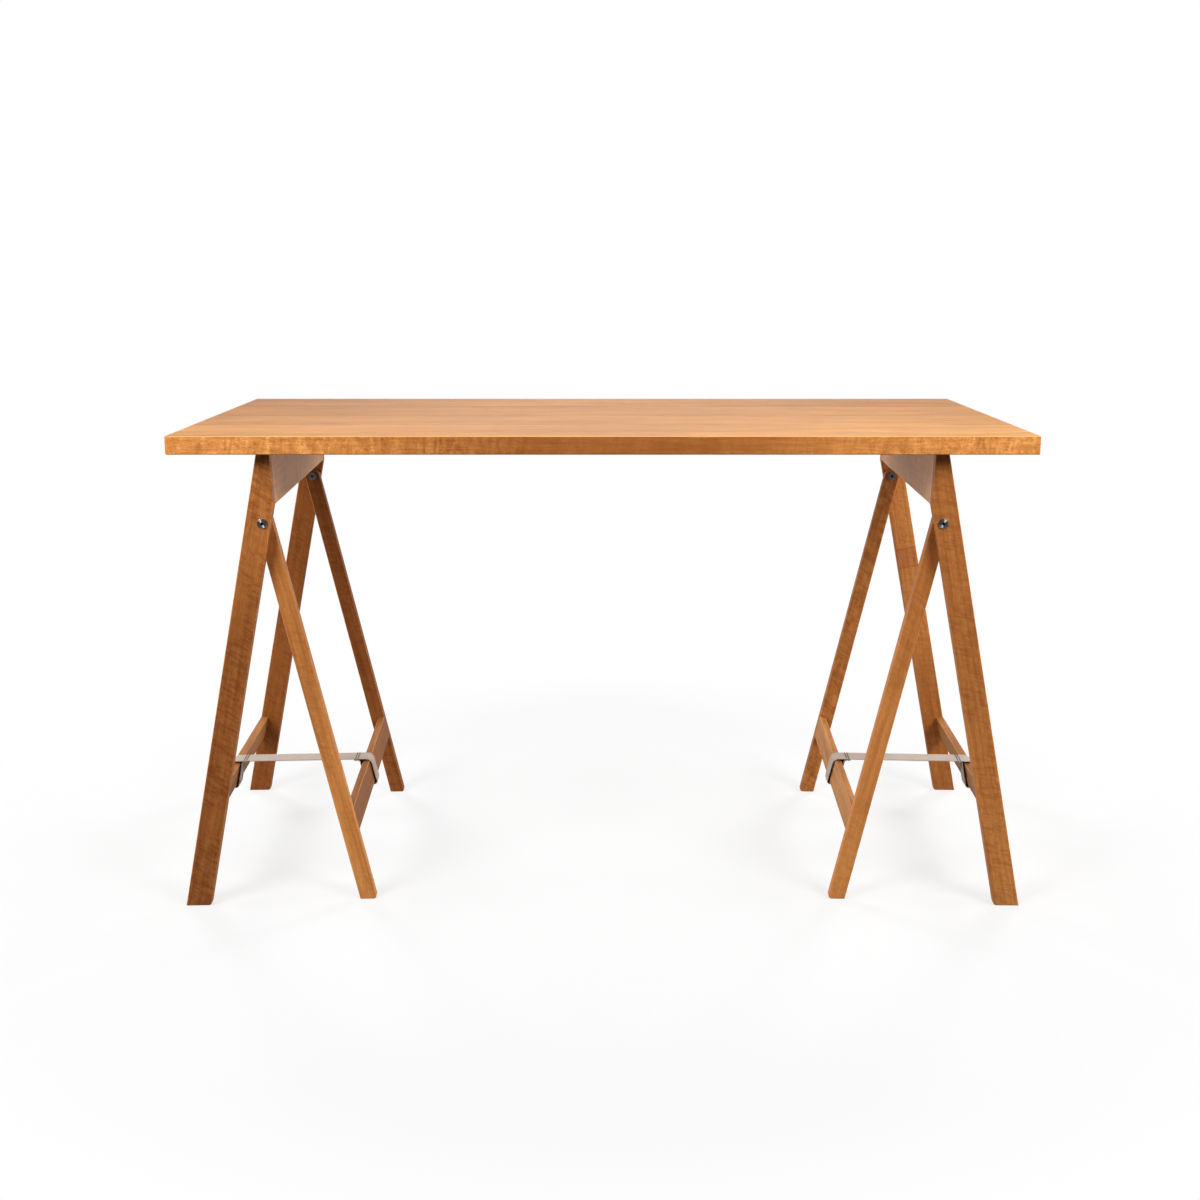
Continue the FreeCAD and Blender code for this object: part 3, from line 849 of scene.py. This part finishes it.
def add_thread(mesh, side, seam, outward, face):
    """One row of stitches across the webbing: a thread that dips into it between them."""
    count = round(SEAM_LENGTH / STITCH_PITCH) * STITCH_STEPS
    rings = []
    for number in range(count + 1):
        y = SEAM_LENGTH * (number / count - 0.5)
        wave = math.cos(2 * math.pi * number / STITCH_STEPS)
        middle = seam + outward * face * (THREAD_RADIUS * (THREAD_LIFT + THREAD_SWING * wave))
        ring = []
        for corner in range(THREAD_CORNERS):
            angle = 2 * math.pi * corner / THREAD_CORNERS
            round_it = Vector((outward.y, -outward.x)) * math.cos(angle) + outward * math.sin(angle)
            place = middle + round_it * THREAD_RADIUS
            ring.append(mesh.verts.new(trestle_point(side, place.x, y, place.y)))
        rings.append(ring)
    for first, second in zip(rings, rings[1:]):
        for corner in range(THREAD_CORNERS):
            other = (corner + 1) % THREAD_CORNERS
            strip = mesh.faces.new((first[corner], first[other], second[other], second[corner]))
            strip.smooth = True
    mesh.faces.new(rings[0])
    mesh.faces.new(rings[-1])


strap_cloth = webbing()
sewing = thread()
corners = strap_corners()
run = (corners[RUN_END] - corners[RUN_START]).normalized()
upward = Vector((-run.y, run.x))
outer_fold = corners[OUTER_FOLD]
inner_fold = corners[INNER_FOLD]
for side in SIDES:
    strap, length = strap_mesh(side + "_webbing", side, strap_line(corners))
    strap.data.materials.append(strap_cloth)
    mesh = bmesh.new()
    for fold, along in ((outer_fold, run), (inner_fold, -run)):
        for inset in SEAM_INSETS:
            below = fold + along * inset - upward * STRAP_THICKNESS / 2
            above = below + upward * (2 * STRAP_THICKNESS + LAP_GAP)
            add_thread(mesh, side, above, upward, 1)
            add_thread(mesh, side, below, upward, -1)
    stitches = finished(side + "_stitches", mesh)
    stitches.data.materials.append(sewing)
    for piece in (strap, stitches):
        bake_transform(piece)
    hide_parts(side + "_strap")


# Floor
FLOOR_HALF = 12.0
FLOOR_DROP = 0.0005
floor_mesh = bpy.data.meshes.new("floor")
floor_signs = ((-1, -1), (1, -1), (1, 1), (-1, 1))
floor_points = [(x * FLOOR_HALF, y * FLOOR_HALF, -FLOOR_DROP) for x, y in floor_signs]
floor_mesh.from_pydata(floor_points, [], [(0, 1, 2, 3)])
floor = link("floor", floor_mesh)

# The floor looks white round the shadow in its middle. Mirrored, it is dim in front. From below, it is clear
FRONT_GLOW = 0.12
FLOOR_GLOW = 0.5
GLOW_REACH = (-2.4, -0.6)
FLOOR_BOUNCE = 0.09
FLOOR_SEEN = 0.78
WHITENING_NEAR = 0.70
WHITENING_FAR = 1.0
WHITENING_REACH = (0.8, 1.3)
floor_material = bpy.data.materials.new("pale_floor")
floor_mesh.materials.append(floor_material)
graph = Graph(floor_material, "ShaderNodeOutputMaterial")
in_camera = graph.rays("Is Camera Ray")
floor_colour = graph.mix(in_camera, grey(FLOOR_BOUNCE), grey(FLOOR_SEEN))
pale = graph.add("ShaderNodeBsdfDiffuse", {"Color": floor_colour}).outputs["BSDF"]
glow = graph.span(graph.parts("Object")["Y"], *GLOW_REACH, FRONT_GLOW, FLOOR_GLOW)
glow = graph.math("MAXIMUM", glow, in_camera)
white = graph.add("ShaderNodeEmission", {"Strength": glow}).outputs["Emission"]
distance = graph.vector("LENGTH", graph.coordinates("Object"))
whitening = graph.span(distance, *WHITENING_REACH, WHITENING_NEAR, WHITENING_FAR)
whitened = graph.mix_shaders(graph.math("MULTIPLY", graph.background_rays(), whitening), pale, white)
clear = graph.add("ShaderNodeBsdfTransparent", {}).outputs["BSDF"]
from_below = graph.add("ShaderNodeNewGeometry", {}).outputs["Backfacing"]
graph.end(graph.mix_shaders(from_below, whitened, clear))

# The world is white to the camera and weak as light. Mirrored, it has a bright backdrop and a dim front
WORLD_LIGHT = 0.035
BACKDROP_ANGLES = (0.06, 0.36)
ROOM_GLOW = 0.42
FRONT_REACH = (0.3, -0.5)
world = bpy.data.worlds.new("studio")
bpy.context.scene.world = world
graph = Graph(world, "ShaderNodeOutputWorld")
direction = graph.parts("Generated")
aside = graph.math("ABSOLUTE", graph.math("ARCTAN2", direction["X"], direction["Y"]))
backdrop = graph.span(aside, *BACKDROP_ANGLES, 1.0, ROOM_GLOW)
front = graph.span(direction["Y"], *FRONT_REACH, 1.0, FRONT_GLOW / ROOM_GLOW)
glow = graph.math("MAXIMUM", graph.math("MULTIPLY", backdrop, front), graph.rays("Is Camera Ray"))
fill = graph.add("ShaderNodeBackground", {"Color": grey(1.0), "Strength": WORLD_LIGHT})
seen = graph.add("ShaderNodeBackground", {"Color": grey(1.0), "Strength": glow})
shaders = [node.outputs["Background"] for node in (fill, seen)]
graph.end(graph.mix_shaders(graph.background_rays(), *shaders))


def softbox(name, place, aim, size, power, mirrored=True, receivers=(), spread=math.pi):
    """Square lamp that the camera doesn't see: on all pieces or only some, and mirrored in them or not."""
    lamp = bpy.data.lights.new(name, "AREA")
    lamp.shape = "SQUARE"
    lamp.size = size
    lamp.energy = power
    lamp.spread = spread
    item = link(name, lamp)
    item.location = place
    item.rotation_euler = (Vector(aim) - Vector(place)).to_track_quat("-Z", "Y").to_euler()
    item.visible_camera = False
    item.visible_glossy = mirrored
    if receivers:
        lit = bpy.data.collections.new(name + "_lit")
        for node_name in receivers:
            lit.objects.link(frame["nodes"][node_name])
        item.light_linking.receiver_collection = lit


# Lamps: keys in front, glints for the bolts alone at the same places, then sides, rear and overhead
LAMP_SIGNS = {"right": 1, "left": -1}
KEY_PLACE = (1.8, -2.0, 2.05)
KEY_AIM = (0.4, 0, 0.5)
KEY_SIZE = 1.3
KEY_POWER = {"right": 12.7, "left": 12.4}
KEY_SPREAD = math.radians(70)
GLINT_POWER = {"right": 190, "left": 185}
SIDE_PLACE = (4.2, -0.4, 0.6)
SIDE_AIM = (0, 0, 0.5)
SIDE_SIZE = 1.6
SIDE_POWER = 130
REAR_PLACE = (1.8, 2.4, 1.5)
REAR_AIM = (0.4, 0, 0.4)
REAR_SIZE = 0.8
REAR_POWER = 45
OVERHEAD_PLACE = (0, 0.2, 3.0)
OVERHEAD_AIM = (0, 0, 0.7)
OVERHEAD_SIZE = 2.0
OVERHEAD_POWER = 12


def on_side(side, point):
    """A point of the right side, or its mirror image on the left."""
    return (LAMP_SIGNS[side] * point[0], point[1], point[2])


for side in LAMP_SIGNS:
    place = on_side(side, KEY_PLACE)
    aim = on_side(side, KEY_AIM)
    bolts = [side + "_pivot_bolts"]
    softbox("key_" + side, place, aim, KEY_SIZE, KEY_POWER[side], mirrored=False, spread=KEY_SPREAD)
    softbox("glint_" + side, place, aim, KEY_SIZE, GLINT_POWER[side], receivers=bolts)
for side in LAMP_SIGNS:
    softbox("side_" + side, on_side(side, SIDE_PLACE), SIDE_AIM, SIDE_SIZE, SIDE_POWER, mirrored=False)
for side in LAMP_SIGNS:
    place = on_side(side, REAR_PLACE)
    softbox("rear_" + side, place, on_side(side, REAR_AIM), REAR_SIZE, REAR_POWER, mirrored=False)
softbox("overhead", OVERHEAD_PLACE, OVERHEAD_AIM, OVERHEAD_SIZE, OVERHEAD_POWER)

# Camera of the photograph
CAMERA_PLACE = (-0.004, -2.807, 1.005)
CAMERA_TILT = 0.20106
CAMERA_LENS = 50
CAMERA_SENSOR = 36
camera_data = bpy.data.cameras.new("camera")
camera_data.lens = CAMERA_LENS
camera_data.sensor_width = CAMERA_SENSOR
camera = link("camera", camera_data)
camera.location = CAMERA_PLACE
camera.rotation_euler = (math.pi / 2 - CAMERA_TILT, 0, 0)
bpy.context.scene.camera = camera
bpy.context.scene.view_settings.view_transform = "Standard"
